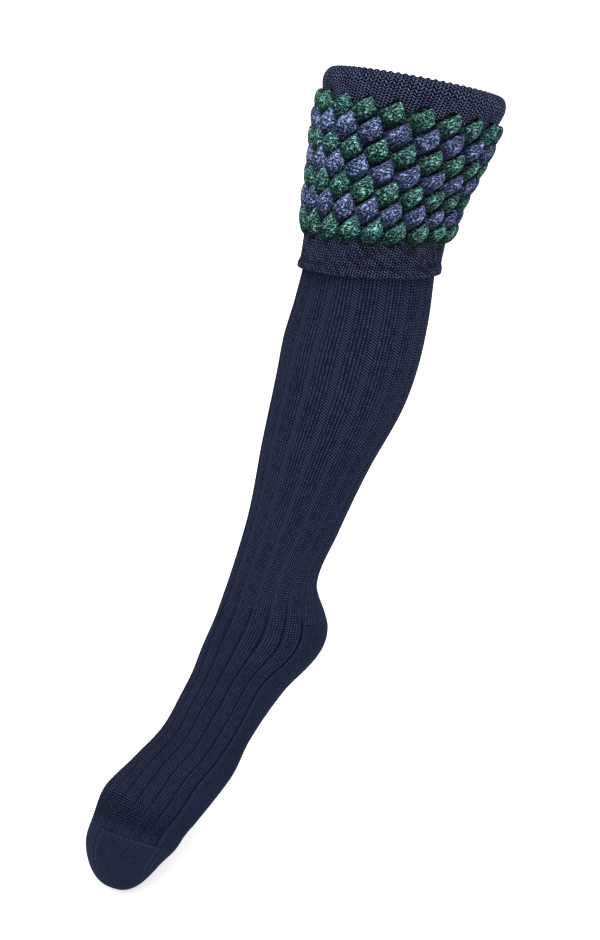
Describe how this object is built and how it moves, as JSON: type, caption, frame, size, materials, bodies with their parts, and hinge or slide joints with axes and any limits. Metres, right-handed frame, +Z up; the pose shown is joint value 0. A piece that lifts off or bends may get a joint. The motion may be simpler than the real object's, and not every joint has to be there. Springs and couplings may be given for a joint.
{
  "type": "knitted sock",
  "caption": "Long ribbed knee sock in dark navy with a turned-down cuff of green and blue bobbles, shaped as it is when worn with the toes pointing down.",
  "frame": {"origin": "centre of the top fold, in the middle of the leg opening, where the sock sits on the leg", "axes": "+Z up, the leg runs down and towards -X with the toes pointing down and to -X, the calf and heel face +X, and Y runs across the foot"},
  "size_m": [0.3647, 0.1368, 0.5871],
  "materials": {
    "navy_knit": "matt wool knit, ribbed",
    "navy_cuff_knit": "matt wool knit, plain stitches",
    "green_knit": "matt wool knit, raised bobbles",
    "blue_knit": "matt wool knit, raised bobbles"
  },
  "bodies": {
    "root": {"leg_top": "navy_knit", "calf": "navy_knit", "shin": "navy_knit", "instep": "navy_knit", "heel": "navy_knit", "sole": "navy_knit", "toe": "navy_knit", "cuff_fold": "navy_cuff_knit", "bobble_row_1": "green_knit", "bobble_row_2": "blue_knit", "bobble_row_3": "green_knit", "bobble_row_4": "blue_knit", "bobble_row_5": "green_knit", "bobble_row_6": "blue_knit", "bobble_row_7": "green_knit", "cuff_welt": "navy_cuff_knit"}
  },
  "joints": []
}
